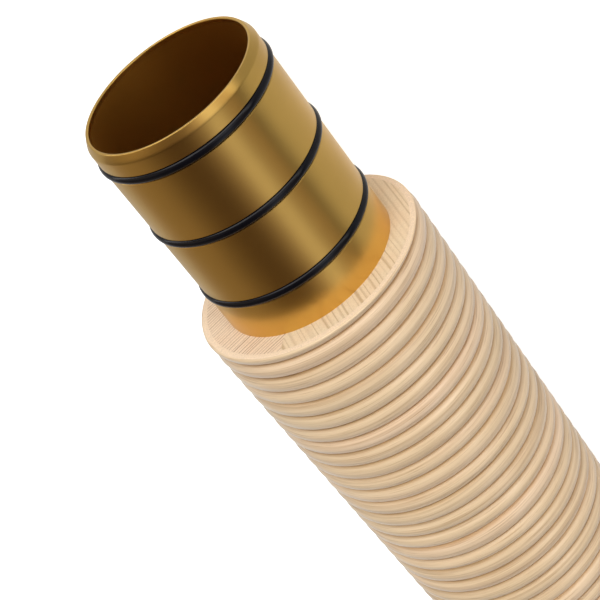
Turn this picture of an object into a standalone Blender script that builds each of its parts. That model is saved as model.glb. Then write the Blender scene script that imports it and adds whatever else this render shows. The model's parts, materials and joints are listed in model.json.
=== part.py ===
"""Alphorn: a wooden horn in three sections, wound with rattan.

The middle section is drawn out of the bell section, so its sealed metal tenon shows.
Sizes are in metres. Each section is modelled along its own X axis, which runs from the
mouthpiece towards the bell, and the whole horn lies on the floor at z = 0.
"""

import math

import bmesh
import bpy
from mathutils import Vector
from mathutils.kdtree import KDTree

# Clearances
SEAT_GAP = 0.0003
RING_GAP = 0.0001
RING_SIDE_GAP = 0.00015
SHANK_GAP = 0.0001
TENON_CLEARANCE = 0.0007

# Number of flat facets round the turned pieces
FINE_STEPS = 32
PLAIN_STEPS = 24
SMALL_STEPS = 16
BELL_SIDES = 28
RING_SIDES = 6

# How meshes are finished
SHARP_ANGLE = math.radians(32)
WELD_DISTANCE = 0.000001

# Rattan winding
RATTAN_THICKNESS = 0.0020
STRAND_WIDTH = 0.0048
STRAND_PITCH = 0.00527
STRAND_TURNS = 24
LOOP_POINTS = 24
STRAND_TIP_WIDTH = 0.0008
STRAND_SHOULDER = 0.55
STRAND_CREST = 0.45
# The strand starts here at the collar's face, measured from the top towards the left half
STRAND_START = math.radians(-141.0)

# How far the middle section is drawn out of the bell section at rest
MIDDLE_PULL = 0.180

# Mouthpiece
MOUTHPIECE_HEIGHT = 0.038
MOUTHPIECE_RIM_RADIUS = 0.0145
MOUTHPIECE_RIM_ROUND = 0.0026
MOUTHPIECE_RIM_POINTS = 4
MOUTHPIECE_WAIST_FROM_RIM = 0.026
MOUTHPIECE_FOOT_RADIUS = 0.0094
MOUTHPIECE_FOOT_HEIGHT = 0.0040
MOUTHPIECE_FOOT_STEP = 0.0010
# Outside between rim and waist: distance from the rim, radius
MOUTHPIECE_BOWL = ((0.0095, 0.0133), (0.0190, 0.0107))
CUP_RADIUS = 0.0092
CUP_BITE = 0.0006
CUP_BITE_DEPTH = 0.0012
CUP_DEPTH = 0.0165
CUP_SHARES = (0.35, 0.65, 0.85)
THROAT_LENGTH = 0.0060
THROAT_RADIUS = 0.0028
BACKBORE_RADIUS = 0.0041
MOUTHPIECE_WAIST_RADIUS = 0.0078
SHANK_LENGTH = 0.030
SHANK_RADIUS = 0.0064
SHANK_TIP_RADIUS = 0.0056

# Receiver that takes the mouthpiece's shank
RECEIVER_LENGTH = 0.036
RECEIVER_WALL = 0.0016
RECEIVER_FLANGE_RADIUS = 0.0150
RECEIVER_FLANGE_THICKNESS = 0.0025

# Hand section
HAND_LENGTH = 1.020
HAND_TOP_RADIUS = 0.0117
HAND_BORE_TOP_RADIUS = 0.0059
HAND_NECK_RADIUS = 0.0168
HAND_NECK_FROM_END = 0.130
HAND_COLLAR_LENGTH = 0.045
HAND_COLLAR_WALL = 0.0058

# Hand section's tenon
HAND_TENON_RADIUS = 0.0155
HAND_TENON_LENGTH = 0.0500
HAND_TENON_ROOT = 0.0340
HAND_TENON_MOUTH_RADIUS = 0.0145
HAND_TENON_BORE_RADIUS = 0.0136
HAND_RING_CORD = 0.0016
HAND_RING_PROUD = 0.00045
HAND_RING_FIRST = 0.0060
HAND_RING_PITCH = 0.0170

# Middle section
MIDDLE_LENGTH = 1.060
MIDDLE_SOCKET_WALL = 0.0047
MIDDLE_SOCKET_TAPER = 0.070
MIDDLE_NECK_RADIUS = 0.0198
MIDDLE_COLLAR_RADIUS = 0.0308
MIDDLE_COLLAR_TAPER = 0.0131
MIDDLE_OUTLINE_SHARES = (0.35, 0.7)

# Middle section's tenon, the one that the photograph shows
TENON_RADIUS = 0.0250
TENON_LENGTH = 0.0635
TENON_ROOT = 0.0400
TENON_MOUTH_RADIUS = 0.0238
TENON_BORE_RADIUS = 0.0229
# The mouth opens in a curve: depth from the tip, share of the way from bore to mouth
TENON_MOUTH_CURVE = ((0.0090, 0.0), (0.0050, 0.09), (0.0020, 0.5), (0.0, 1.0))
# The nose is eased by a quarter of an ellipse
TENON_NOSE_DROP = 0.0009
TENON_NOSE_LENGTH = 0.0024
TENON_NOSE_POINTS = 5
RING_CORD = 0.0020
RING_PROUD = 0.0005
RING_FIRST = 0.0066
RING_PITCH = 0.0223
RING_COUNT = 3

# Socket bushes
BUSH_WALL = 0.0015
BUSH_EASE = 0.00075
SOCKET_SPARE_DEPTH = 0.0015

# Bell section
BELL_STRAIGHT = 0.800
BELL_SOCKET_WALL = 0.0056
BELL_SOCKET_TAPER = 0.080
BELL_NECK_RADIUS = 0.0309
BELL_THROAT_RADIUS = 0.0420
BELL_THROAT_WALL = 0.0080
BEND_RADIUS = 0.400
BEND_ANGLE = math.radians(66.0)
BEND_STATIONS = 10
FLARE_EARLY = 0.0140
FLARE_LATE = 0.0670
FLARE_POWER = 3
BELL_RIM_WALL = 0.0075
BELL_WINDING_ANGLE = math.radians(12.0)
RIM_BAND_WIDTH = 0.0110
RIM_BAND_THICKNESS = 0.0045
RIM_BAND_FALL = 0.0031
RIM_BAND_EDGE = 0.0018
RIM_BAND_SHOULDER = 0.00045
PAST_RIM = 0.004
PAST_SOCKET = 0.010

# Foot under the bell
FOOT_ANGLE = math.radians(24.0)
FOOT_LENGTH = 0.044
FOOT_HALF_WIDTH = 0.050
FOOT_SHOULDER_HALF_WIDTH = 0.036
FOOT_TOE_HEIGHT = 0.012
FOOT_HEIGHT = 0.052
FOOT_ARCH_HALF_WIDTH = 0.026
FOOT_ARCH_HEIGHT = 0.011
FOOT_ARCH_POINTS = 7
FOOT_EDGE_ROUND = 0.0015
PAD_RADIUS = 0.0090
PAD_THICKNESS = 0.0030
PAD_OFFSET = 0.038

# Slope of the horn's axis when it lies on the floor
AXIS_SLOPE = math.atan(0.0098)

# Sizes that follow from the ones above
RECEIVER_BORE_RADIUS = SHANK_RADIUS + SHANK_GAP
RECEIVER_TIP_RADIUS = SHANK_TIP_RADIUS + SHANK_GAP
RECEIVER_RADIUS = RECEIVER_BORE_RADIUS + RECEIVER_WALL
HAND_COLLAR_RADIUS = HAND_TENON_RADIUS + HAND_COLLAR_WALL
MIDDLE_BUSH_BORE = HAND_TENON_RADIUS + TENON_CLEARANCE
MIDDLE_BUSH_RADIUS = MIDDLE_BUSH_BORE + BUSH_WALL
MIDDLE_SOCKET_RADIUS = MIDDLE_BUSH_RADIUS + SEAT_GAP + MIDDLE_SOCKET_WALL
MIDDLE_BUSH_LENGTH = HAND_TENON_LENGTH + SOCKET_SPARE_DEPTH
BELL_BUSH_BORE = TENON_RADIUS + TENON_CLEARANCE
BELL_BUSH_RADIUS = BELL_BUSH_BORE + BUSH_WALL
BELL_SOCKET_RADIUS = BELL_BUSH_RADIUS + SEAT_GAP + BELL_SOCKET_WALL
BELL_BUSH_LENGTH = TENON_LENGTH + SOCKET_SPARE_DEPTH
BELL_LENGTH = BELL_STRAIGHT + BEND_RADIUS * BEND_ANGLE
BELL_RIM_RADIUS = BELL_THROAT_RADIUS + FLARE_EARLY + FLARE_LATE
WINDING_DEPTH = SEAT_GAP + RATTAN_THICKNESS
MIDDLE_X = HAND_LENGTH + SEAT_GAP
COLLAR_X = MIDDLE_X + MIDDLE_LENGTH
BELL_X = COLLAR_X + SEAT_GAP + MIDDLE_PULL
FOOT_X = BELL_X + BELL_STRAIGHT + BEND_RADIUS * math.sin(FOOT_ANGLE)
AXIS_HEIGHT = (
    RECEIVER_FLANGE_RADIUS * math.cos(AXIS_SLOPE)
    + RECEIVER_FLANGE_THICKNESS * math.sin(AXIS_SLOPE)
)


def clear_scene():
    """Remove whatever objects the file opens with."""
    for old in list(bpy.data.objects):
        bpy.data.objects.remove(old)


def new_collection(name):
    """Make a collection in the scene."""
    made = bpy.data.collections.new(name)
    bpy.context.scene.collection.children.link(made)
    return made


clear_scene()
PARTS = new_collection("alphorn")
CUTTERS = new_collection("alphorn_cutters")


def new_material(name, colour, roughness, metallic=0.0):
    """Make a Principled material."""
    made = bpy.data.materials.new(name)
    made.use_nodes = True
    shader = made.node_tree.nodes["Principled BSDF"]
    shader.inputs["Base Color"].default_value = (*colour, 1.0)
    shader.inputs["Roughness"].default_value = roughness
    shader.inputs["Metallic"].default_value = metallic
    return made


SPRUCE = new_material("spruce", (0.78, 0.60, 0.42), 0.50)
RATTAN = new_material("rattan", (0.70, 0.52, 0.33), 0.45)
GOLD_METAL = new_material("satin_gold_metal", (0.50, 0.32, 0.09), 0.34, 1.0)
RUBBER = new_material("black_rubber", (0.012, 0.012, 0.016), 0.38)
BOXWOOD = new_material("boxwood", (0.55, 0.34, 0.14), 0.35)
WALNUT = new_material("walnut", (0.16, 0.08, 0.04), 0.45)


def new_empty(name, parent=None, location=(0, 0, 0), rotation=(0, 0, 0)):
    """Make an empty that places or carries other objects."""
    made = bpy.data.objects.new(name, None)
    PARTS.objects.link(made)
    made.parent = parent
    made.location = location
    made.rotation_euler = rotation
    return made


# One frame for the floor and one for each section, all on the horn's axis
GROUND = new_empty("ground")
AXIS = new_empty("horn_axis", GROUND, (0, 0, AXIS_HEIGHT), (0, -AXIS_SLOPE, 0))
HAND = new_empty("hand_section", AXIS)
MIDDLE = new_empty("middle_section", AXIS, (MIDDLE_X, 0, 0))
BELL = new_empty("bell_section", AXIS, (BELL_X, 0, 0))
MOUTHPIECE = new_empty("mouthpiece_seat", HAND, (-RECEIVER_FLANGE_THICKNESS, 0, 0))

# Turned pieces have their profile's axis on Z, which this turns to the section's X
Z_TO_X = (0, math.pi / 2, 0)


def add_object(name, data, parent, material, collection=None):
    """Link a new object for this mesh or curve."""
    made = bpy.data.objects.new(name, data)
    (collection or PARTS).objects.link(made)
    made.parent = parent
    if material:
        data.materials.append(material)
    return made


def adopt(name, collection, parent):
    """Take the primitive that was just added into a collection, under a parent."""
    made = bpy.context.active_object
    made.name = name
    for other in list(made.users_collection):
        other.objects.unlink(made)
    collection.objects.link(made)
    made.parent = parent
    return made


def make_guide(thing):
    """Mark an object as a cutter or a guide, which is no piece of the horn."""
    thing.hide_render = True
    thing.display_type = "WIRE"
    return thing


def shade_round(mesh):
    """Shade smooth, with sharp edges kept."""
    mesh.shade_smooth()
    mesh.set_sharp_from_angle(angle=SHARP_ANGLE)


def arc(centre_x, centre_r, radius, start, end, count):
    """Points (x, r) of a round stretch of a profile, with angles in degrees from +x."""
    points = []
    for i in range(count):
        angle = math.radians(start + (end - start) * i / (count - 1))
        points.append((centre_x + radius * math.cos(angle), centre_r + radius * math.sin(angle)))
    return points


def turned(name, outer, bore, parent, material, steps=PLAIN_STEPS, collection=None):
    """Turn a tube. Both profiles are points (x, r) from the mouthpiece's side to the bell's."""
    loop = list(reversed(outer)) + list(bore)
    mesh = bpy.data.meshes.new(name)
    vertices = [(r, 0.0, x) for x, r in loop]
    edges = [(i, (i + 1) % len(loop)) for i in range(len(loop))]
    mesh.from_pydata(vertices, edges, [])
    made = add_object(name, mesh, parent, material, collection)
    made.rotation_euler = Z_TO_X
    screw = made.modifiers.new("turn", "SCREW")
    screw.axis = "Z"
    screw.steps = steps
    screw.render_steps = steps
    screw.use_merge_vertices = True
    screw.merge_threshold = 0.00001
    screw.use_smooth_shade = True
    return made


def cut(thing, cutter):
    """Take the cutter's shape out of a piece."""
    made = thing.modifiers.new("cut_" + cutter.name, "BOOLEAN")
    made.operation = "DIFFERENCE"
    made.solver = "EXACT"
    made.object = cutter


def seam_cutter(name, side):
    """A block that takes away everything on one side of the glued seam."""
    length = 2 * (BELL_X + BELL_LENGTH + BELL_RIM_RADIUS)
    bpy.ops.mesh.primitive_cube_add(size=1)
    made = adopt(name, CUTTERS, AXIS)
    made.scale = (length, 1.0, length)
    made.location = (0, side * (SEAT_GAP / 2 - 0.5), 0)
    return make_guide(made)


# The left half lies on the player's left, at +Y, and the right half at -Y
BEYOND_LEFT_HALF = seam_cutter("beyond_left_half", 1)
BEYOND_RIGHT_HALF = seam_cutter("beyond_right_half", -1)
HALVES = (("left", BEYOND_LEFT_HALF), ("right", BEYOND_RIGHT_HALF))


def weld(mesh):
    """Join points that lie together and turn the faces outwards."""
    work = bmesh.new()
    work.from_mesh(mesh)
    bmesh.ops.remove_doubles(work, verts=work.verts, dist=WELD_DISTANCE)
    bmesh.ops.recalc_face_normals(work, faces=work.faces)
    work.to_mesh(mesh)
    work.free()


def curve_to_mesh(curve_object):
    """Turn a curve object into a closed mesh object in the same place."""
    depsgraph = bpy.context.evaluated_depsgraph_get()
    evaluated = curve_object.evaluated_get(depsgraph)
    mesh = bpy.data.meshes.new_from_object(evaluated)
    weld(mesh)
    mesh.name = curve_object.name
    made = bpy.data.objects.new(curve_object.name, mesh)
    for collection in curve_object.users_collection:
        collection.objects.link(made)
    made.parent = curve_object.parent
    made.matrix_world = curve_object.matrix_world
    name = curve_object.name
    bpy.data.objects.remove(curve_object)
    made.name = name
    return made


def tapered_tube(name, stations, parent, material, sides=BELL_SIDES, collection=None):
    """Make a solid bar through stations (centre, radius), with round sections."""
    curve = bpy.data.curves.new(name, "CURVE")
    curve.dimensions = "3D"
    curve.twist_mode = "MINIMUM"
    curve.bevel_depth = 1.0
    curve.bevel_resolution = sides // 2 - 2
    curve.use_fill_caps = True
    spline = curve.splines.new("POLY")
    spline.points.add(len(stations) - 1)
    for point, (centre, radius) in zip(spline.points, stations):
        point.co = (*centre, 1.0)
        point.radius = radius
    made = add_object(name, curve, parent, material, collection)
    bpy.context.view_layer.update()
    made = curve_to_mesh(made)
    shade_round(made.data)
    return made


def ring_groove(centre, radius, depth, width):
    """Four points (x, r) of a groove in a profile that runs along +x."""
    left = centre - width / 2
    right = centre + width / 2
    return [(left, radius), (left, radius - depth), (right, radius - depth), (right, radius)]


def make_mouthpiece():
    """Turned wooden mouthpiece with its cup, throat and tapered shank."""
    rim_x = RECEIVER_FLANGE_THICKNESS - MOUTHPIECE_HEIGHT
    rim_centre_r = MOUTHPIECE_RIM_RADIUS - MOUTHPIECE_RIM_ROUND
    rim_centre_x = rim_x + MOUTHPIECE_RIM_ROUND
    shoulder_x = -SEAT_GAP
    rim = arc(rim_centre_x, rim_centre_r, MOUTHPIECE_RIM_ROUND, 180, 90, MOUTHPIECE_RIM_POINTS)
    outer = rim[1:] + [(rim_x + x, r) for x, r in MOUTHPIECE_BOWL]
    foot_x = shoulder_x - MOUTHPIECE_FOOT_HEIGHT
    outer += [
        (rim_x + MOUTHPIECE_WAIST_FROM_RIM, MOUTHPIECE_WAIST_RADIUS),
        (foot_x - MOUTHPIECE_FOOT_STEP, MOUTHPIECE_WAIST_RADIUS),
        (foot_x, MOUTHPIECE_FOOT_RADIUS),
        (shoulder_x, MOUTHPIECE_FOOT_RADIUS),
        (shoulder_x, SHANK_RADIUS),
        (SHANK_LENGTH, SHANK_TIP_RADIUS),
    ]
    bore = [
        (rim_x, rim_centre_r),
        (rim_x + CUP_BITE / 2, CUP_RADIUS + CUP_BITE),
        (rim_x + CUP_BITE_DEPTH, CUP_RADIUS),
    ]
    for share in CUP_SHARES:
        bowl_r = THROAT_RADIUS + (CUP_RADIUS - THROAT_RADIUS) * math.sqrt(1 - share * share)
        bore.append((rim_x + share * CUP_DEPTH, bowl_r))
    bore += [
        (rim_x + CUP_DEPTH, THROAT_RADIUS),
        (rim_x + CUP_DEPTH + THROAT_LENGTH, THROAT_RADIUS),
        (SHANK_LENGTH, BACKBORE_RADIUS),
    ]
    turned("mouthpiece", outer, bore, MOUTHPIECE, BOXWOOD, SMALL_STEPS)


def make_receiver():
    """Flanged metal bush in the hand section's end, tapered for the shank."""
    flange_x = -RECEIVER_FLANGE_THICKNESS
    outer = [
        (flange_x, RECEIVER_FLANGE_RADIUS),
        (-SEAT_GAP, RECEIVER_FLANGE_RADIUS),
        (-SEAT_GAP, RECEIVER_RADIUS),
        (RECEIVER_LENGTH, RECEIVER_RADIUS),
    ]
    taper = (RECEIVER_BORE_RADIUS - RECEIVER_TIP_RADIUS) / SHANK_LENGTH
    depth = RECEIVER_LENGTH + RECEIVER_FLANGE_THICKNESS
    bore = [
        (flange_x, RECEIVER_BORE_RADIUS),
        (RECEIVER_LENGTH, RECEIVER_BORE_RADIUS - taper * depth),
    ]
    turned("mouthpiece_receiver", outer, bore, HAND, GOLD_METAL)


def make_section_halves(prefix, outer, bore, parent, steps):
    """The two glued halves of a straight wooden section."""
    for side, beyond in HALVES:
        half = turned(f"{prefix}_half_{side}", outer, bore, parent, SPRUCE, steps)
        cut(half, beyond)


def winding_over(points, thickness=RATTAN_THICKNESS):
    """Outer and inner profiles of a plain sleeve that lies over these wooden points."""
    inner = [(x, r + SEAT_GAP) for x, r in points]
    outer = [(x, r + SEAT_GAP + thickness) for x, r in points]
    return outer, inner


def make_hand_section():
    """Upper section, which the player holds."""
    collar_x = HAND_LENGTH - HAND_COLLAR_LENGTH
    neck_x = HAND_LENGTH - HAND_NECK_FROM_END
    root_x = HAND_LENGTH - HAND_TENON_ROOT - SEAT_GAP
    outer = [
        (0.0, HAND_TOP_RADIUS),
        (neck_x, HAND_NECK_RADIUS),
        (collar_x, HAND_COLLAR_RADIUS),
        (HAND_LENGTH, HAND_COLLAR_RADIUS),
    ]
    bore = [
        (0.0, RECEIVER_RADIUS + SEAT_GAP),
        (RECEIVER_LENGTH + SEAT_GAP, RECEIVER_RADIUS + SEAT_GAP),
        (RECEIVER_LENGTH + SEAT_GAP, HAND_BORE_TOP_RADIUS),
        (root_x, HAND_TENON_BORE_RADIUS),
        (root_x, HAND_TENON_RADIUS + SEAT_GAP),
        (HAND_LENGTH, HAND_TENON_RADIUS + SEAT_GAP),
    ]
    make_section_halves("hand_tube", outer, bore, HAND, PLAIN_STEPS)
    sleeve, inside = winding_over(outer)
    turned("hand_tube_winding", sleeve, inside, HAND, RATTAN)


def make_tenon(name, parent, face_x, radius, length, root, mouth, bore_radius, rings, steps):
    """Metal tenon: a tube glued into the wood, grooved for its rings. rings is a dict."""
    tip_x = face_x + length
    outer = [(face_x - root, radius)]
    floor_depth = rings["cord"] - rings["proud"] + RING_GAP
    groove_width = rings["cord"] + 2 * RING_SIDE_GAP
    for centre in reversed(ring_centres(tip_x, rings)):
        outer += ring_groove(centre, radius, floor_depth, groove_width)
    for along, up in arc(0.0, 0.0, 1.0, 90, 0, TENON_NOSE_POINTS):
        nose_x = tip_x - TENON_NOSE_LENGTH * (1 - along)
        outer.append((nose_x, radius - TENON_NOSE_DROP * (1 - up)))
    bore = [(face_x - root, bore_radius)]
    for depth, share in TENON_MOUTH_CURVE:
        bore.append((tip_x - depth, bore_radius + share * (mouth - bore_radius)))
    turned(name, outer, bore, parent, GOLD_METAL, steps)


def ring_centres(tip_x, rings):
    """Places of a tenon's rings along the axis, the one nearest the tip first."""
    return [tip_x - rings["first"] - i * rings["pitch"] for i in range(RING_COUNT)]


def make_rings(prefix, parent, tip_x, tenon_radius, rings, steps):
    """Rubber rings in the tenon's grooves, numbered from the tip."""
    cord = rings["cord"] / 2
    major = tenon_radius + rings["proud"] - cord
    for number, centre in enumerate(ring_centres(tip_x, rings), 1):
        bpy.ops.mesh.primitive_torus_add(
            major_radius=major, minor_radius=cord, major_segments=steps, minor_segments=RING_SIDES
        )
        made = adopt(f"{prefix}_o_ring_{number}", PARTS, parent)
        made.location = (centre, 0, 0)
        made.rotation_euler = Z_TO_X
        made.data.materials.append(RUBBER)
        made.data.shade_smooth()


def make_bush(name, parent, length, bore_radius, steps):
    """Metal bush that lines a socket, with its mouth eased for the tenon."""
    radius = bore_radius + BUSH_WALL
    outer = [(0.0, radius), (length, radius)]
    bore = [(0.0, bore_radius + BUSH_EASE), (BUSH_EASE, bore_radius), (length, bore_radius)]
    turned(name, outer, bore, parent, GOLD_METAL, steps)


def middle_wood_radius(x):
    """Wood radius of the middle section, which opens faster towards its collar."""
    neck_x = MIDDLE_BUSH_LENGTH + MIDDLE_SOCKET_TAPER
    if x < MIDDLE_BUSH_LENGTH:
        return MIDDLE_SOCKET_RADIUS
    if x < neck_x:
        share = (x - MIDDLE_BUSH_LENGTH) / MIDDLE_SOCKET_TAPER
        return MIDDLE_SOCKET_RADIUS + share * (MIDDLE_NECK_RADIUS - MIDDLE_SOCKET_RADIUS)
    span = MIDDLE_LENGTH - neck_x
    share = (MIDDLE_LENGTH - x) / span
    straight = MIDDLE_COLLAR_TAPER * span * share
    spare = MIDDLE_COLLAR_RADIUS - MIDDLE_NECK_RADIUS - MIDDLE_COLLAR_TAPER * span
    return MIDDLE_COLLAR_RADIUS - straight - spare * share * share


def make_middle_section():
    """Middle section's wood and the plain part of its winding."""
    neck_x = MIDDLE_BUSH_LENGTH + MIDDLE_SOCKET_TAPER
    wound_x = MIDDLE_LENGTH - end_winding_length()
    steps = [0.0, MIDDLE_BUSH_LENGTH, neck_x]
    steps += [neck_x + share * (wound_x - neck_x) for share in MIDDLE_OUTLINE_SHARES]
    plain = [(x, middle_wood_radius(x)) for x in steps + [wound_x - SEAT_GAP]]
    outer = [(x, middle_wood_radius(x)) for x in steps + [wound_x, MIDDLE_LENGTH]]
    root_x = MIDDLE_LENGTH - TENON_ROOT - SEAT_GAP
    socket_x = MIDDLE_BUSH_LENGTH + SEAT_GAP
    bore = [
        (0.0, MIDDLE_BUSH_RADIUS + SEAT_GAP),
        (socket_x, MIDDLE_BUSH_RADIUS + SEAT_GAP),
        (socket_x, HAND_TENON_MOUTH_RADIUS),
        (root_x, TENON_BORE_RADIUS),
        (root_x, TENON_RADIUS + SEAT_GAP),
        (MIDDLE_LENGTH, TENON_RADIUS + SEAT_GAP),
    ]
    make_section_halves("middle_tube", outer, bore, MIDDLE, FINE_STEPS)
    sleeve, inside = winding_over(plain)
    turned("middle_tube_winding", sleeve, inside, MIDDLE, RATTAN, FINE_STEPS)


def end_winding_length():
    """Length along the axis of the strand's turns, from the collar's face."""
    return STRAND_TURNS * STRAND_PITCH + 2 * STRAND_TIP_WIDTH - STRAND_WIDTH + SEAT_GAP


def strand_edges(i):
    """Where the strand's edges lie along the tube at point i; its two ends are cut to a taper."""
    far_end = MIDDLE_LENGTH - end_winding_length() + SEAT_GAP
    far = MIDDLE_LENGTH - STRAND_TIP_WIDTH - STRAND_PITCH * i / LOOP_POINTS
    return min(far + STRAND_WIDTH, MIDDLE_LENGTH), max(far, far_end)


def strand_section(i):
    """Flat-oval section of the strand at point i: flat inside, domed outside."""
    near, far = strand_edges(i)
    middle = (near + far) / 2
    half = (near - far) / 2
    high = RATTAN_THICKNESS - SEAT_GAP
    base = (middle_wood_radius(middle) + SEAT_GAP) / math.cos(math.pi / LOOP_POINTS)
    outline = [
        (0.0, -half),
        (STRAND_SHOULDER * high, -half),
        (high, -STRAND_CREST * half),
        (high, STRAND_CREST * half),
        (STRAND_SHOULDER * high, half),
        (0.0, half),
    ]
    angle = math.pi - STRAND_START - 2 * math.pi * i / LOOP_POINTS
    across, up = math.cos(angle), math.sin(angle)
    return [((base + out) * across, (base + out) * up, middle + along) for out, along in outline]


def make_end_winding():
    """The rattan strand's last turns beside the tenon, as one unbroken helix."""
    count = STRAND_TURNS * LOOP_POINTS + 1
    sections = [strand_section(i) for i in range(count)]
    sides = len(sections[0])
    faces = [tuple(range(sides)), tuple(reversed(range((count - 1) * sides, count * sides)))]
    for i in range(count - 1):
        for j in range(sides):
            first, second = i * sides + j, i * sides + (j + 1) % sides
            faces.append((first, first + sides, second + sides, second))
    mesh = bpy.data.meshes.new("middle_tube_end_winding")
    mesh.from_pydata([point for section in sections for point in section], [], faces)
    weld(mesh)
    shade_round(mesh)
    made = add_object(mesh.name, mesh, MIDDLE, RATTAN)
    made.rotation_euler = Z_TO_X
    print("least gap between the strand's turns:", round(1000 * strand_gap(made), 3), "mm")
    return made


def turn_number(point):
    """Number of the turn that a point of the strand lies on."""
    start_x = MIDDLE_LENGTH - STRAND_TIP_WIDTH + STRAND_WIDTH / 2
    angle = math.pi - STRAND_START - math.atan2(point.y, point.x)
    share = angle / (2 * math.pi) % 1.0
    return round((start_x - point.z) / STRAND_PITCH - share)


def strand_gap(strand):
    """Least distance between a point of one turn and a point of another, in metres."""
    points = [vertex.co for vertex in strand.data.vertices]
    tree = KDTree(len(points))
    for i, point in enumerate(points):
        tree.insert(point, i)
    tree.balance()
    least = STRAND_PITCH
    for point in points:
        own = turn_number(point)
        for near, _, distance in tree.find_range(point, least):
            if turn_number(near) != own:
                least = min(least, distance)
    return least


def bell_centre(s):
    """Centre of the bell section's bore at distance s along it, and its direction's angle."""
    if s <= BELL_STRAIGHT:
        return Vector((s, 0, 0)), 0.0
    angle = (s - BELL_STRAIGHT) / BEND_RADIUS
    x = BELL_STRAIGHT + BEND_RADIUS * math.sin(angle)
    z = BEND_RADIUS * (1 - math.cos(angle))
    return Vector((x, 0, z)), angle


def bell_wood_radius(s):
    """Outer radius of the bell section's wood."""
    neck_s = BELL_BUSH_LENGTH + BELL_SOCKET_TAPER
    if s <= BELL_BUSH_LENGTH:
        return BELL_SOCKET_RADIUS
    if s <= neck_s:
        share = (s - BELL_BUSH_LENGTH) / BELL_SOCKET_TAPER
        return BELL_SOCKET_RADIUS + share * (BELL_NECK_RADIUS - BELL_SOCKET_RADIUS)
    if s <= BELL_STRAIGHT:
        share = (s - neck_s) / (BELL_STRAIGHT - neck_s)
        return BELL_NECK_RADIUS + share * (BELL_THROAT_RADIUS - BELL_NECK_RADIUS)
    share = (s - BELL_STRAIGHT) / (BELL_LENGTH - BELL_STRAIGHT)
    return BELL_THROAT_RADIUS + FLARE_EARLY * share + FLARE_LATE * share**FLARE_POWER


def bell_bore_radius(s):
    """Radius of the bell section's air column, past its socket."""
    throat = BELL_THROAT_RADIUS - BELL_THROAT_WALL
    if s <= BELL_STRAIGHT:
        share = (s - BELL_BUSH_LENGTH) / (BELL_STRAIGHT - BELL_BUSH_LENGTH)
        return TENON_MOUTH_RADIUS + share * (throat - TENON_MOUTH_RADIUS)
    share = (s - BELL_STRAIGHT) / (BELL_LENGTH - BELL_STRAIGHT)
    wall = BELL_THROAT_WALL + share * (BELL_RIM_WALL - BELL_THROAT_WALL)
    return bell_wood_radius(s) - wall


def bend_stations(end_s):
    """Distances along the bent part, up to end_s."""
    count = max(3, round(BEND_STATIONS * (end_s - BELL_STRAIGHT) / (BELL_LENGTH - BELL_STRAIGHT)))
    span = end_s - BELL_STRAIGHT
    return [BELL_STRAIGHT + span * i / count for i in range(count + 1)]


def straight_stations():
    """Distances along the straight part where the outline turns."""
    return [0.0, BELL_BUSH_LENGTH, BELL_BUSH_LENGTH + BELL_SOCKET_TAPER]


def mouth_angle():
    """Slope of the bell's mouth, square to the last stretch between two stations."""
    return BEND_ANGLE * (1 - 0.5 / BEND_STATIONS)


def beyond_mouth(radius_of):
    """Station a little past the rim, in line with the last stretch, for a cutter."""
    angle = mouth_angle()
    ahead = Vector((math.cos(angle), 0, math.sin(angle)))
    rise = radius_of(BELL_LENGTH) - radius_of(BELL_LENGTH - PAST_RIM)
    return bell_centre(BELL_LENGTH)[0] + PAST_RIM * ahead, radius_of(BELL_LENGTH) + rise


def bell_bar(name, distances, spare, collection, material=None, past=False):
    """Solid bar of the bell section's outer shape, made larger by spare."""
    stations = [(bell_centre(s)[0], bell_wood_radius(s) + spare) for s in distances]
    if past:
        centre, radius = beyond_mouth(bell_wood_radius)
        stations.append((centre, radius + spare))
    return tapered_tube(name, stations, BELL, material, BELL_SIDES, collection)


def make_bell_bore():
    """Cutter for the air column and the flare, which runs out past the rim."""
    distances = [BELL_BUSH_LENGTH - PAST_RIM] + bend_stations(BELL_LENGTH)
    stations = [(bell_centre(s)[0], bell_bore_radius(s)) for s in distances]
    stations.append(beyond_mouth(bell_bore_radius))
    return make_guide(tapered_tube("bell_bore", stations, BELL, None, BELL_SIDES, CUTTERS))


def make_round_cutter(name, start_x, length, radius, parent):
    """Plain cylinder along X, for a counterbore."""
    bpy.ops.mesh.primitive_cylinder_add(vertices=FINE_STEPS, radius=radius, depth=length)
    made = adopt(name, CUTTERS, parent)
    made.location = (start_x + length / 2, 0, 0)
    made.rotation_euler = Z_TO_X
    return make_guide(made)


def make_bell_section():
    """Bell section's wood, in two glued halves, and its winding."""
    bore = make_bell_bore()
    depth = PAST_SOCKET + BELL_BUSH_LENGTH + SEAT_GAP
    socket = make_round_cutter(
        "bell_socket_bore", -PAST_SOCKET, depth, BELL_BUSH_RADIUS + SEAT_GAP, BELL
    )
    distances = straight_stations() + bend_stations(BELL_LENGTH)
    for side, beyond in HALVES:
        half = bell_bar(f"bell_half_{side}", distances, 0.0, PARTS, SPRUCE)
        cut(half, bore)
        cut(half, socket)
        cut(half, beyond)
    wound_s = BELL_STRAIGHT + BEND_RADIUS * BELL_WINDING_ANGLE
    wound = straight_stations() + bend_stations(wound_s)
    sleeve = bell_bar("bell_winding", wound, WINDING_DEPTH, PARTS, RATTAN)
    longer = [-PAST_RIM] + distances[1:]
    inside = bell_bar("bell_winding_inside", longer, SEAT_GAP, CUTTERS)
    cut(sleeve, make_guide(inside))


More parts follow.
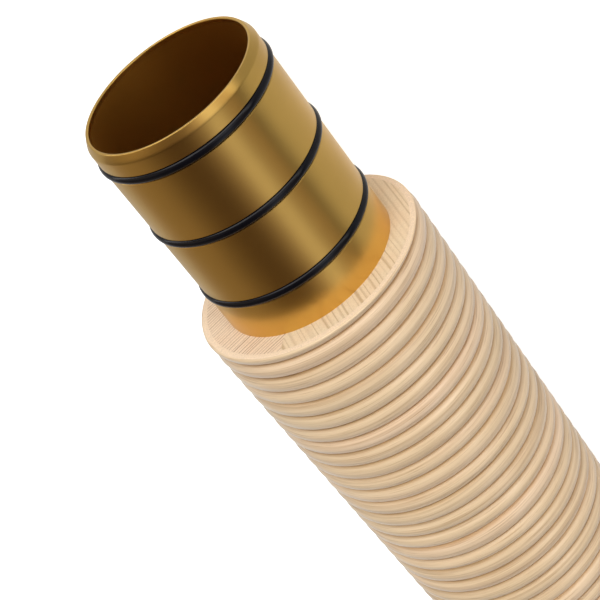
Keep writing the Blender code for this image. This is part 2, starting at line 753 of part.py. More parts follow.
def make_rim_band():
    """Rattan band bound round the bell's edge."""
    centre = bell_centre(BELL_LENGTH)[0]
    mouth = new_empty("bell_mouth", BELL, centre, (0, -mouth_angle(), 0))
    crest = BELL_RIM_RADIUS + RIM_BAND_THICKNESS
    third = RIM_BAND_WIDTH / 3
    inner_r = BELL_RIM_RADIUS - RIM_BAND_WIDTH
    outer = [
        (-RIM_BAND_WIDTH, crest - RIM_BAND_FALL),
        (-2 * third, crest - RIM_BAND_SHOULDER),
        (-third, crest),
        (0.0, crest - RIM_BAND_EDGE),
    ]
    inner = [(-RIM_BAND_WIDTH, inner_r), (0.0, inner_r)]
    band = turned("bell_rim_band", outer, inner, mouth, RATTAN, BELL_SIDES)
    distances = bend_stations(BELL_LENGTH)
    seat = bell_bar("bell_rim_seat", distances, SEAT_GAP, CUTTERS, past=True)
    cut(band, make_guide(seat))


def foot_outline():
    """Corners (y, z) of the foot's front view, on its pads, with the arch between the toes."""
    bottom = PAD_THICKNESS + SEAT_GAP
    right = [
        (FOOT_HALF_WIDTH, bottom),
        (FOOT_HALF_WIDTH, bottom + FOOT_TOE_HEIGHT),
        (FOOT_SHOULDER_HALF_WIDTH, FOOT_HEIGHT),
    ]
    left = [(-y, z) for y, z in reversed(right)]
    arch = []
    for i in range(FOOT_ARCH_POINTS):
        y = FOOT_ARCH_HALF_WIDTH * (2 * i / (FOOT_ARCH_POINTS - 1) - 1)
        lift = 1 - (y / FOOT_ARCH_HALF_WIDTH) ** 2
        arch.append((y, bottom + FOOT_ARCH_HEIGHT * lift))
    return right + left + arch


def make_foot():
    """Wooden foot, shaped to the bell's underside, and its two rubber pads."""
    curve = bpy.data.curves.new("foot", "CURVE")
    curve.dimensions = "2D"
    curve.fill_mode = "BOTH"
    curve.extrude = FOOT_LENGTH / 2
    outline = foot_outline()
    spline = curve.splines.new("POLY")
    spline.points.add(len(outline) - 1)
    spline.use_cyclic_u = True
    for point, (y, z) in zip(spline.points, outline):
        point.co = (y, z, 0.0, 1.0)
    foot = add_object("foot", curve, GROUND, WALNUT)
    foot.location = (FOOT_X, 0, 0)
    foot.rotation_euler = (math.pi / 2, 0, math.pi / 2)
    bpy.context.view_layer.update()
    foot = curve_to_mesh(foot)
    bevel = foot.modifiers.new("eased_edges", "BEVEL")
    bevel.width = FOOT_EDGE_ROUND
    bevel.segments = 1
    saddle = bell_bar("foot_saddle", bend_stations(BELL_LENGTH), SEAT_GAP, CUTTERS)
    cut(foot, make_guide(saddle))
    for side, offset in (("left", PAD_OFFSET), ("right", -PAD_OFFSET)):
        bpy.ops.mesh.primitive_cylinder_add(
            vertices=SMALL_STEPS, radius=PAD_RADIUS, depth=PAD_THICKNESS
        )
        pad = adopt(f"foot_pad_{side}", PARTS, GROUND)
        pad.location = (FOOT_X, offset, PAD_THICKNESS / 2)
        pad.data.materials.append(RUBBER)


def piece_bounds():
    """Lowest and highest corner of all the pieces, in world coordinates."""
    bpy.context.view_layer.update()
    depsgraph = bpy.context.evaluated_depsgraph_get()
    corners = []
    for thing in PARTS.objects:
        if thing.type != "MESH":
            continue
        evaluated = thing.evaluated_get(depsgraph)
        mesh = evaluated.to_mesh()
        corners += [thing.matrix_world @ vertex.co for vertex in mesh.vertices]
        evaluated.to_mesh_clear()
    low = Vector([min(corner[i] for corner in corners) for i in range(3)])
    high = Vector([max(corner[i] for corner in corners) for i in range(3)])
    return low, high


def centre_on_origin():
    """Move the horn along X so that the origin is under the middle of its length."""
    low, high = piece_bounds()
    GROUND.location.x -= (low.x + high.x) / 2
    bpy.context.view_layer.update()


HAND_RINGS = {
    "cord": HAND_RING_CORD,
    "proud": HAND_RING_PROUD,
    "first": HAND_RING_FIRST,
    "pitch": HAND_RING_PITCH,
}
MIDDLE_RINGS = {
    "cord": RING_CORD,
    "proud": RING_PROUD,
    "first": RING_FIRST,
    "pitch": RING_PITCH,
}

make_mouthpiece()
make_receiver()
make_hand_section()
make_tenon(
    "hand_tenon", HAND, HAND_LENGTH, HAND_TENON_RADIUS, HAND_TENON_LENGTH, HAND_TENON_ROOT,
    HAND_TENON_MOUTH_RADIUS, HAND_TENON_BORE_RADIUS, HAND_RINGS, PLAIN_STEPS,
)
make_rings(
    "hand", HAND, HAND_LENGTH + HAND_TENON_LENGTH, HAND_TENON_RADIUS, HAND_RINGS, PLAIN_STEPS
)
make_bush("middle_socket_bush", MIDDLE, MIDDLE_BUSH_LENGTH, MIDDLE_BUSH_BORE, PLAIN_STEPS)
make_middle_section()
make_end_winding()
make_tenon(
    "middle_tenon", MIDDLE, MIDDLE_LENGTH, TENON_RADIUS, TENON_LENGTH, TENON_ROOT,
    TENON_MOUTH_RADIUS, TENON_BORE_RADIUS, MIDDLE_RINGS, FINE_STEPS,
)
make_rings(
    "middle", MIDDLE, MIDDLE_LENGTH + TENON_LENGTH, TENON_RADIUS, MIDDLE_RINGS, FINE_STEPS
)
make_bush("bell_socket_bush", BELL, BELL_BUSH_LENGTH, BELL_BUSH_BORE, FINE_STEPS)
make_bell_section()
make_rim_band()
make_foot()
centre_on_origin()
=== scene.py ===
import json
import math

import bmesh
import bpy
import numpy as np
from mathutils import Matrix, Vector


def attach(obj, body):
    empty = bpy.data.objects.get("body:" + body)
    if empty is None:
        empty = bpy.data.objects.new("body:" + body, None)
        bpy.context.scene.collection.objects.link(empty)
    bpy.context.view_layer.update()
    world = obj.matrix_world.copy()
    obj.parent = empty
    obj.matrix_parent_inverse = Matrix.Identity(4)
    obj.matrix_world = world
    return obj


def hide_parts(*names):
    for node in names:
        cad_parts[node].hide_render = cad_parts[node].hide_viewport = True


# Sizes in metres, as in the CAD model. Distances along a section start at its end
# towards the mouthpiece.

SEAT_GAP = 0.0003

# The mouthpiece is 0.01 mm shorter than in the CAD model, to stay inside its box.
# Its bowl is a curve through these (distance from the rim, radius)
MOUTHPIECE_BOWL = ((0.0026, 0.0145), (0.0095, 0.0133), (0.0190, 0.0107), (0.0260, 0.0078))
MOUTHPIECE = {"height": 0.03799, "rim": 0.0145, "round": 0.0026, "foot": 0.0094,
              "foot_height": 0.0040, "foot_step": 0.0010, "foot_edge": 0.0005,
              "cup": 0.0092, "bite": 0.0012, "cup_depth": 0.0165, "throat": 0.0028,
              "throat_length": 0.0060, "backbore": 0.0041, "shank": 0.030,
              "shank_radius": 0.0064, "shank_tip": 0.0056}
RECEIVER = {"length": 0.036, "flange": 0.0150, "thickness": 0.0025,
            "radius": 0.0081, "bore": 0.0065, "tip": 0.0057, "edge": 0.0003}

HAND_LENGTH = 1.020
HAND_RECEIVER_HOLE = (0.0363, 0.0083)
HAND_WOOD = [(0.0, 0.0117), (0.890, 0.0168), (0.975, 0.0213), (1.020, 0.0213)]
HAND_TENON = {"radius": 0.0155, "length": 0.0500, "root": 0.0340, "mouth": 0.0145,
              "bore": 0.0136, "cord": 0.0016, "proud": 0.00045, "first": 0.0060,
              "pitch": 0.0170}
HAND_BORE_TOP = 0.0059

MIDDLE_LENGTH = 1.060
MIDDLE_BUSH = {"length": 0.0515, "bore": 0.0162, "wall": 0.0015}
MIDDLE_SOCKET_RADIUS = 0.0227
MIDDLE_NECK = (0.1215, 0.0198)
MIDDLE_COLLAR_RADIUS = 0.0308
MIDDLE_TAPER = 0.0131
MIDDLE_TENON = {"radius": 0.0250, "length": 0.0635, "root": 0.0400, "mouth": 0.0238,
                "bore": 0.0229, "cord": 0.0020, "proud": 0.0005, "first": 0.0066,
                "pitch": 0.0223}
END_TURNS = 24

BELL_BUSH = {"length": 0.0650, "bore": 0.0257, "wall": 0.0015}
BELL_SOCKET_RADIUS = 0.0331
BELL_NECK = (0.1450, 0.0309)
BELL_STRAIGHT = 0.800
BELL_THROAT_RADIUS = 0.0420
BELL_THROAT_WALL = 0.0080
BELL_RIM_WALL = 0.0075
RIM_BAND_WIDTH = 0.0110
RIM_BAND_THICKNESS = 0.0045
# How far the crests of the rim band's turns lie below the full thickness
RIM_BAND_FALLS = (0.0018, 0.0003, 0.0011)
BEND_RADIUS = 0.400
BEND_ANGLE = math.radians(66.0)
BEND_STATIONS = 10
BELL_LENGTH = BELL_STRAIGHT + BEND_RADIUS * BEND_ANGLE
BELL_WOUND = BELL_STRAIGHT + BEND_RADIUS * math.radians(12.0)
FLARE_EARLY = 0.0140
FLARE_LATE = 0.0670
# How far the middle section is drawn out of the bell section at rest
MIDDLE_PULL = 0.180

# Rings, grooves, lips and edges, finer than in the CAD model
RING_SWELL = 0.00018
RING_SINK = 0.00005
GROOVE_SPARE = 0.00005
GROOVE_EASE = 0.00016
NOSE_REACH = 0.00095
NOSE_LENGTH = 0.0024
NOSE_DROP = 0.00105
NOSE_EASE = 0.25
LIP_OUTER = 0.0002
LIP_LAND = 0.0003
LIP_INNER = 0.00035
MOUTH_DEPTH = 0.0090
MOUTH_CURVE = 1.7
INSIDE_SPARE = 0.00002
BUSH_EDGE = 0.0007
# Angle by which each wooden half stays short of the seam, in radians
SEAM_LEAN = 0.0008
# Distance between the rows of points along a wooden section
ROW_STEP = 0.02

# The rattan strand, which the scene winds over the whole horn
RATTAN_THICKNESS = 0.0021
RATTAN_GAP = 0.00004
RATTAN_EDGE = 0.24
RATTAN_ROUND = 0.78
RATTAN_CUT_ROUND = 0.0006
RATTAN_PITCH = 0.00527
RATTAN_TIP = 0.00008
RATTAN_START = math.radians(-190.2)
RATTAN_WANDER = 0.00010
# Waves by which a seam between turns strays: (waves per turn, phase)
RATTAN_WAVES = ((0.41, 0.3), (0.57, 2.1), (0.73, 4.4), (1.37, 1.2), (2.3, 5.0))
# Turns at either end over which the straying fades, and over which the strand tapers
RATTAN_STEADY = 3
RATTAN_TAPER = 0.10
# Height of the strand's very ends, as a share of its full height
RATTAN_END_HEIGHT = 0.1
WINDING_START = 0.0005

# How far the wood's growth rings sway
WOOD_SWAY = 0.0016

# The camera as fitted to the photo: x right, y down, z away from the camera

FOCAL_PIXELS = 1929.3
PICTURE_PIXELS = 600
SENSOR_MM = 36.0
RIM_IN_CAMERA = Vector((-1.2674, -2.0515, 18.6088)) * MIDDLE_TENON["radius"]
AXIS_IN_CAMERA = Vector((0.5254, 0.6599, 0.5372))
UP_IN_CAMERA = Vector((-0.2140, 0.7136, -0.6670))

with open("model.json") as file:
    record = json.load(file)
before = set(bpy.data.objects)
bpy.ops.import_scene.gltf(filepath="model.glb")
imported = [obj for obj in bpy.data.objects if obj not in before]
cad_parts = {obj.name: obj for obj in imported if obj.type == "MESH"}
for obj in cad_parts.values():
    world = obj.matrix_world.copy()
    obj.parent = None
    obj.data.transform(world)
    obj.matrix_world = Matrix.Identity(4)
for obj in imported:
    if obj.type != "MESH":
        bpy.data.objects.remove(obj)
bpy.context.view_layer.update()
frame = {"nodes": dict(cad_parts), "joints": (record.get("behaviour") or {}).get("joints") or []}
scene = bpy.context.scene
scene.view_settings.view_transform = "Standard"

joints = {j["name"]: j for j in frame["joints"]}
collar = Vector(joints["middle_joint_twist"]["pos_m"])
axis = Vector(joints["middle_joint_twist"]["axis"]).normalized()
side = Vector((0, 1, 0))
up = axis.cross(side).normalized()
middle_origin = collar - axis * MIDDLE_LENGTH
hand_origin = middle_origin - axis * (HAND_LENGTH + SEAT_GAP)
bell_origin = collar + axis * (MIDDLE_PULL + SEAT_GAP)
tenon_tip = collar + axis * MIDDLE_TENON["length"]


# Paths: from an array of distances to the arrays of centres and of directions upwards

def straight_path(origin):
    """A path along the horn's axis from this point."""
    def path(s):
        s = np.asarray(s, float)
        centre = np.array(origin) + s[..., None] * np.array(axis)
        return centre, np.broadcast_to(np.array(up), centre.shape)
    return path


def bell_path(s):
    """The bell section's path, which curves up past its straight part.

    Its last stretch leans less, as in the CAD model, whose mouth is square to a chord.
    """
    s = np.asarray(s, float)
    bend = np.maximum(s - BELL_STRAIGHT, 0) / BEND_RADIUS
    ahead = np.minimum(s, BELL_STRAIGHT) + BEND_RADIUS * np.sin(bend)
    lift = BEND_RADIUS * (1 - np.cos(bend))
    a, u = np.array(axis), np.array(up)
    centre = np.array(bell_origin) + ahead[..., None] * a + lift[..., None] * u
    tilt = bend - np.maximum(bend - BEND_ANGLE * (1 - 1 / BEND_STATIONS), 0) / 2
    above = np.cos(tilt)[..., None] * u - np.sin(tilt)[..., None] * a
    return centre, above


hand_path = straight_path(hand_origin)
middle_path = straight_path(middle_origin)


def around(path, s, radius, angle):
    """Points at these distances, radii and angles from the top towards +Y."""
    centre, above = path(s)
    radius, angle = np.asarray(radius)[..., None], np.asarray(angle)[..., None]
    return centre + radius * (np.cos(angle) * above + np.sin(angle) * np.array(side))


# Shapes

def mesh_object(name, points, faces, material, uvs=None, sharp=35.0):
    """A smooth piece with its sharp edges kept.

    uvs are in metres, one for each point, or one for each corner of each face.
    """
    mesh = bpy.data.meshes.new(name)
    if isinstance(faces, np.ndarray):
        faces = faces.tolist()
    mesh.from_pydata(np.asarray(points).tolist(), [], faces)
    if uvs is not None:
        layer = mesh.uv_layers.new(name="strand")
        if len(uvs) == len(mesh.vertices):
            order = np.zeros(len(mesh.loops), int)
            mesh.loops.foreach_get("vertex_index", order)
            uvs = np.asarray(uvs)[order]
        layer.data.foreach_set("uv", np.asarray(uvs).ravel())
    shape = bmesh.new()
    shape.from_mesh(mesh)
    bmesh.ops.recalc_face_normals(shape, faces=shape.faces)
    shape.to_mesh(mesh)
    shape.free()
    mesh.shade_smooth()
    mesh.set_sharp_from_angle(angle=math.radians(sharp))
    mesh.materials.append(material)
    piece = bpy.data.objects.new(name, mesh)
    scene.collection.objects.link(piece)
    return piece


def place(piece, body, slot, *nodes):
    """The piece rides on the body and stands for the nodes. The slot is not used."""
    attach(piece, body)
    if nodes:
        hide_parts(*nodes)
    return piece


def turned(name, path, profile, material, steps=160, sharp=35.0, inside=None, within=0.0,
           across=None):
    """A closed profile of (distance, radius) turned about the path.

    Faces nearer to the path than within take the second material. across gives each
    point's place across its strand, for a strand's material.
    """
    profile = np.array(profile)
    count = len(profile)
    angles = 2 * np.pi * np.arange(steps) / steps
    points = around(path, profile[None, :, 0], profile[None, :, 1], angles[:, None])
    index = np.arange(steps * count).reshape(steps, count)
    after, along = np.roll(index, -1, 0), np.roll(index, -1, 1)
    both = np.roll(after, -1, 1)
    faces = np.stack([index, along, both, after], -1).reshape(-1, 4)
    uvs = None
    if across is not None:
        turn = np.arange(steps + 1) * 2 * np.pi / steps * profile[:, 1].max()
        u = np.stack([turn[:-1], turn[:-1], turn[1:], turn[1:]], -1)[:, None, :]
        v = np.stack([across, np.roll(across, -1), np.roll(across, -1), across], -1)[None]
        uvs = np.stack(np.broadcast_arrays(u, v), -1).reshape(-1, 2)
    piece = mesh_object(name, points.reshape(-1, 3), faces, material, uvs, sharp)
    if inside:
        piece.data.materials.append(inside)
        middles = (profile[:, 1] + np.roll(profile[:, 1], -1)) / 2
        is_inside = np.tile(middles < within, steps).astype(int)
        piece.data.polygons.foreach_set("material_index", is_inside)
    return piece


def half_shell(name, path, rows, material, left, steps=64):
    """Half a tube, cut by the upright seam. rows are (distance, outer radius, inner radius)."""
    rows = np.array(rows)
    angles = np.linspace(SEAM_LEAN, np.pi - SEAM_LEAN, steps + 1) * (1 if left else -1)
    outer = around(path, rows[None, :, 0], rows[None, :, 1], angles[:, None])
    inner = around(path, rows[None, :, 0], rows[None, :, 2], angles[:, None])
    count = len(rows)
    points = np.concatenate([outer, inner[:, ::-1]], 1)
    index = np.arange(points.shape[0] * 2 * count).reshape(points.shape[0], 2 * count)
    along = np.roll(index, -1, 1)
    faces = [np.stack([index[:-1], along[:-1], along[1:], index[1:]], -1).reshape(-1, 4)]
    for row in (index[0], index[-1]):
        o, i = row[:count], row[count:][::-1]
        faces.append(np.stack([o[:-1], o[1:], i[1:], i[:-1]], -1))
    return mesh_object(name, points.reshape(-1, 3), np.concatenate(faces), material, sharp=30.0)


def arc(x, r, radius, start, end, steps=6):
    """Points of an arc about (x, r), with angles in degrees from +x."""
    turn = np.radians(np.linspace(start, end, steps + 1))
    return [(x + radius * math.cos(a), r + radius * math.sin(a)) for a in turn]


def dome(across):
    """Height of the flat-oval strand as a share of its thickness, across it from -1 to 1."""
    return RATTAN_EDGE + (1 - RATTAN_EDGE) * (1 - np.clip(across, -1, 1) ** 2) ** RATTAN_ROUND


def wander(turn, last):
    """How far the seam between two turns strays along the tube, in metres."""
    stray = sum(np.sin(2 * np.pi * rate * turn + phase) for rate, phase in RATTAN_WAVES)
    fade = np.clip(turn / RATTAN_STEADY, 0, 1) * np.clip((last - turn) / RATTAN_STEADY, 0, 1)
    return RATTAN_WANDER * stray * fade


def strand(name, path, radius_of, limits, turns, per_turn=56, top_points=7):
    """One wound strand of rattan between two distances, cut flush at both.

    Turns are counted from limits[1], and turns picks the first and last of this piece.
    """
    low, high = limits
    first, last = turns
    i = np.arange(round(first * per_turn), round(last * per_turn) + 1)
    turn = i / per_turn
    end = turns_between(limits)
    far = high - RATTAN_TIP - RATTAN_PITCH * turn + wander(turn, end)
    near = high - RATTAN_TIP - RATTAN_PITCH * (turn - 1) + wander(turn - 1, end) - RATTAN_GAP
    whole, centre = (near - far) / 2, (near + far) / 2
    near, far = np.minimum(near, high), np.maximum(far, low)
    middle, half = (near + far) / 2, (near - far) / 2
    across = np.sin(np.linspace(-np.pi / 2, np.pi / 2, top_points))
    s = middle[:, None] + half[:, None] * across
    height = RATTAN_THICKNESS * dome((s - centre[:, None]) / whole[:, None])
    for edge in (high - s, s - low):
        share = np.clip(edge / RATTAN_CUT_ROUND, 0, 1)
        round_cut = RATTAN_CUT_ROUND * ((1 - (1 - share) ** 2) ** 0.5 - 1)
        height = np.minimum(height, RATTAN_THICKNESS + round_cut)
    ends = np.clip(np.minimum(turn / RATTAN_TAPER, (end - turn) / RATTAN_TAPER), 0, 1) ** 0.5
    height = height * (RATTAN_END_HEIGHT + (1 - RATTAN_END_HEIGHT) * ends)[:, None]
    s = np.concatenate([s[:, :1], s, s[:, -1:]], 1)
    height = np.concatenate([0 * height[:, :1], height, 0 * height[:, :1]], 1)
    angle = RATTAN_START + 2 * np.pi * turn
    base = radius_of(middle)
    points = around(path, s, base[:, None] + height, angle[:, None])
    travelled = np.concatenate([[0], np.cumsum(2 * np.pi * base[1:] / per_turn)])
    uvs = np.stack(np.broadcast_arrays(travelled[:, None], s - centre[:, None]), -1)
    count = s.shape[1]
    index = np.arange(len(i) * count).reshape(len(i), count)
    along = np.roll(index, -1, 1)
    faces = np.stack([index[:-1], along[:-1], along[1:], index[1:]], -1).reshape(-1, 4).tolist()
    faces += [index[0].tolist(), index[-1][::-1].tolist()]
    piece = mesh_object(name, points.reshape(-1, 3), faces, rattan, uvs.reshape(-1, 2), 70.0)
    # The cut faces take the core colour, which holds a painted highlight.
    piece.data.materials.append(rattan_core_and_highlight)
    cut = np.zeros((len(i) - 1, count), int)
    cut[:, -2] = near[1:] >= high
    cut[:, 0] = far[1:] <= low
    piece.data.polygons.foreach_set("material_index", np.append(cut.ravel(), (0, 0)))
    return piece


def turns_between(limits):
    """How many turns of the strand fill the space between two distances."""
    return (limits[1] - limits[0] - 2 * RATTAN_TIP - RATTAN_GAP) / RATTAN_PITCH + 1


# Materials

def new_material(name):
    """A material with its node tree and its Principled shader."""
    material = bpy.data.materials.new(name)
    material.use_nodes = True
    tree = material.node_tree
    return material, tree, tree.nodes["Principled BSDF"]


def add_node(tree, kind, **inputs):
    """A node with these input values, where an underscore stands for a space."""
    node = tree.nodes.new(kind)
    for key, value in inputs.items():
        node.inputs[key.replace("_", " ")].default_value = value
    return node


def feed(tree, socket, value):
    """Link an output to this input, or set the input to a plain value."""
    if isinstance(value, bpy.types.NodeSocket):
        tree.links.new(value, socket)
    else:
        socket.default_value = value


def ramp_node(tree, source, *stops):
    """A colour ramp fed by this output, with stops of (position, colour or grey level)."""
    node = tree.nodes.new("ShaderNodeValToRGB")
    ramp = node.color_ramp
    while len(ramp.elements) < len(stops):
        ramp.elements.new(0.5)
    for element, (position, colour) in zip(ramp.elements, stops):
        if isinstance(colour, float):
            colour = (colour,) * 3
        element.position = position
        element.color = (*colour, 1)
    tree.links.new(source, node.inputs["Fac"])
    return node.outputs["Color"]


def mix_node(tree, blend, factor, a, b):
    """Two colours blended in this way."""
    node = tree.nodes.new("ShaderNodeMix")
    node.data_type = "RGBA"
    node.blend_type = blend
    feed(tree, node.inputs["Factor"], factor)
    feed(tree, node.inputs["A"], a)
    feed(tree, node.inputs["B"], b)
    return node.outputs["Result"]


def multiply(tree, a, b):
    """The product of two colours."""
    return mix_node(tree, "MULTIPLY", 1.0, a, b)


def noise(tree, vector, scale, detail=4.0, roughness=0.5):
    """Noise from 0 to 1 at these coordinates."""
    node = add_node(tree, "ShaderNodeTexNoise", Scale=scale, Detail=detail, Roughness=roughness)
    tree.links.new(vector, node.inputs["Vector"])
    return node.outputs["Fac"]


def mapped(tree, vector, scale=(1, 1, 1), rotation=(0, 0, 0)):
    """Coordinates turned and scaled."""
    node = add_node(tree, "ShaderNodeMapping", Scale=scale, Rotation=rotation)
    tree.links.new(vector, node.inputs["Vector"])
    return node.outputs["Vector"]


def bump(tree, shader, height, strength, distance):
    """Fine relief on the shader from this height."""
    node = add_node(tree, "ShaderNodeBump", Strength=strength, Distance=distance)
    tree.links.new(height, node.inputs["Height"])
    tree.links.new(node.outputs["Normal"], shader.inputs["Normal"])


def object_coords(tree):
    """The object's own coordinates, in metres."""
    return tree.nodes.new("ShaderNodeTexCoord").outputs["Object"]


def metal_material(name, colour, roughness):
    """Satin turned metal: fine turning marks round the axis, and a slightly uneven tone."""
    material, tree, shader = new_material(name)
    coords = object_coords(tree)
    marks = noise(tree, mapped(tree, coords, (9000, 40, 40)), 1.0, 3.0)
    cloud = noise(tree, coords, 60.0)
    tone = ramp_node(tree, cloud, (0.35, [c * 0.94 for c in colour]), (0.65, colour))
    tree.links.new(tone, shader.inputs["Base Color"])
    shader.inputs["Metallic"].default_value = 1.0
    shader.inputs["Roughness"].default_value = roughness
    bump(tree, shader, marks, 0.08, 0.00005)
    return material


def smooth_material(name, colour, roughness, grain=400.0, spread=0.2, strength=0.1,
                    specular=0.5):
    """Rubber and other even surfaces with a fine grain."""
    material, tree, shader = new_material(name)
    speck = noise(tree, object_coords(tree), grain)
    tone = ramp_node(tree, speck, (0.3, [c * (1 - spread) for c in colour]),
                     (0.7, [c * (1 + spread) for c in colour]))
    tree.links.new(tone, shader.inputs["Base Color"])
    shader.inputs["Roughness"].default_value = roughness
    shader.inputs["Specular IOR Level"].default_value = specular
    bump(tree, shader, speck, strength, 0.0001)
    return material


def math_node(tree, operation, *values):
    """One sum on outputs or plain numbers."""
    node = tree.nodes.new("ShaderNodeMath")
    node.operation = operation
    for socket, value in zip(node.inputs, values):
        feed(tree, socket, value)
    return node.outputs["Value"]


def split_node(tree, vector):
    """The three parts of a vector, by their letters."""
    node = tree.nodes.new("ShaderNodeSeparateXYZ")
    tree.links.new(vector, node.inputs["Vector"])
    return node.outputs


def ray_kinds(tree):
    """Whether the surface is seen by the camera, and whether it is seen in a mirror."""
    light_path = tree.nodes.new("ShaderNodeLightPath").outputs
    in_mirror = math_node(tree, "MAXIMUM", light_path["Is Glossy Ray"],
                          light_path["Is Transmission Ray"])
    return light_path["Is Camera Ray"], in_mirror


def wood_material(name, early, late, spacing, slant=0.0, roughness=0.5, uneven=0.5,
                  sharp=(0.55, 0.90, 0.97), least=0.25):
    """Growth rings as nearly flat sheets along X: lines on end grain, stripes on the sides.

    Each ring has its own width and darkness, at least the share least. sharp holds the
    shares of a ring's width at which the late wood begins, is darkest and ends.
    """
    material, tree, shader = new_material(name)
    coords = object_coords(tree)
    turned_coords = split_node(tree, mapped(tree, coords, rotation=(slant, 0, 0)))
    sway = noise(tree, mapped(tree, coords, (2.5, 45, 45)), 1.0, 1.0)
    depth = math_node(tree, "MULTIPLY_ADD", sway, WOOD_SWAY, turned_coords["Y"])
    steps = math_node(tree, "DIVIDE", depth, spacing)
    alone = tree.nodes.new("ShaderNodeTexNoise")
    alone.noise_dimensions = "1D"
    alone.inputs["Scale"].default_value = 0.7
    alone.inputs["Detail"].default_value = 2.0
    tree.links.new(steps, alone.inputs["W"])
    rings = math_node(tree, "MULTIPLY_ADD", alone.outputs["Fac"], 3.0 * uneven, steps)
    share = math_node(tree, "FRACT", rings)
    chance = tree.nodes.new("ShaderNodeTexWhiteNoise")
    chance.noise_dimensions = "1D"
    tree.links.new(math_node(tree, "FLOOR", rings), chance.inputs["W"])
    weight = ramp_node(tree, share, (0.0, 0.0), (sharp[0], 0.0), (sharp[1], 1.0),
                       (sharp[2], 0.0))
    dark = math_node(tree, "MULTIPLY_ADD", chance.outputs["Value"], 1 - least, least)
    ringed = mix_node(tree, "MIX", math_node(tree, "MULTIPLY", weight, dark), (*early, 1),
                      (*late, 1))
    fibre = noise(tree, mapped(tree, coords, (25, 2500, 2500)), 1.0, 3.0)
    fine = ramp_node(tree, fibre, (0.3, (0.90, 0.87, 0.83)), (0.55, 1.0))
    cloud = noise(tree, mapped(tree, coords, (8, 120, 120)), 1.0, 2.0)
    tone = ramp_node(tree, cloud, (0.35, (1.0, 0.95, 0.92)), (0.65, 1.0))
    colour = multiply(tree, multiply(tree, ringed, fine), tone)
    tree.links.new(colour, shader.inputs["Base Color"])
    shader.inputs["Roughness"].default_value = roughness
    bump(tree, shader, fibre, 0.25, 0.0001)
    return material


def rattan_material(name):
    """Fibres along the strand, from its own coordinates: u along it and v across it, in metres."""
    material, tree, shader = new_material(name)
    uv = tree.nodes.new("ShaderNodeUVMap")
    uv.uv_map = "strand"
    coords = uv.outputs["UV"]
    fine = noise(tree, mapped(tree, coords, (60, 3600, 1)), 1.0, 3.0, 0.6)
    streaks = noise(tree, mapped(tree, coords, (8, 950, 1)), 1.0, 2.0)
    patches = noise(tree, mapped(tree, coords, (6, 60, 1)), 1.0, 2.0)
    base = ramp_node(tree, patches, (0.32, (0.71, 0.525, 0.315)), (0.50, (0.75, 0.55, 0.335)),
                     (0.68, (0.80, 0.58, 0.375)))
    soft = ramp_node(tree, streaks, (0.30, (0.80, 0.75, 0.70)), (0.50, 1.0),
                     (0.70, (1.08, 1.10, 1.14)))
    lines = ramp_node(tree, fine, (0.30, (0.74, 0.66, 0.58)), (0.46, 1.0),
                      (0.66, (1.05, 1.06, 1.09)))
    # Painted shade: towards both edges of each turn the colour turns darker and browner, as in the
    # grooves between turns.
    off_centre = math_node(tree, "ABSOLUTE", split_node(tree, coords)["Y"])
    aside = math_node(tree, "MULTIPLY", off_centre, 2 / RATTAN_PITCH)
    edges = ramp_node(tree, aside, (0.70, 1.0), (1.0, (0.92, 0.80, 0.62)))
    colour = multiply(tree, multiply(tree, multiply(tree, base, soft), lines), edges)
    tree.links.new(colour, shader.inputs["Base Color"])
    shader.inputs["Roughness"].default_value = 0.32
    shader.inputs["Specular IOR Level"].default_value = 1.0
    shader.inputs["Sheen Weight"].default_value = 0.5
    shader.inputs["Sheen Roughness"].default_value = 0.4
    bump(tree, shader, fine, 0.35, 0.00012)
    return material


gold = metal_material("gold_metal_satin", (0.79, 0.495, 0.125), 0.30)
# The bore of the tenons: the same brass, rougher, with its colour painted darker and browner as
# shade inside the tube.
gold_inside_shade = metal_material("gold_metal_inside_shade", (0.55, 0.27, 0.04), 0.55)
rubber = smooth_material("black_rubber", (0.003, 0.003, 0.005), 0.19, specular=0.28)
pad_rubber = smooth_material("pad_rubber", (0.03, 0.03, 0.03), 0.7)
spruce_left = wood_material("spruce_left", (0.84, 0.66, 0.475), (0.31, 0.16, 0.08), 0.00105,
                            math.radians(42.1), uneven=0.3, least=0.5)
spruce_right = wood_material("spruce_right", (0.81, 0.645, 0.44), (0.52, 0.36, 0.20), 0.0015,
                             math.radians(-34.7), sharp=(0.45, 0.75, 0.98))
boxwood = wood_material("boxwood", (0.62, 0.38, 0.14), (0.52, 0.30, 0.10), 0.0015, 0.3, 0.3)
walnut = wood_material("walnut", (0.13, 0.06, 0.03), (0.06, 0.025, 0.012), 0.0030, 0.5, 0.4)
rattan = rattan_material("rattan")
# The strands' cut ends: the rattan's paler core, made lighter still as a painted highlight where
# the cut ends catch the light.
rattan_core_and_highlight = smooth_material("rattan_core_and_highlight", (0.83, 0.64, 0.45), 0.5, 3000.0, 0.12, 0.3)


# The tenons with their rings, and the bushes that line the sockets

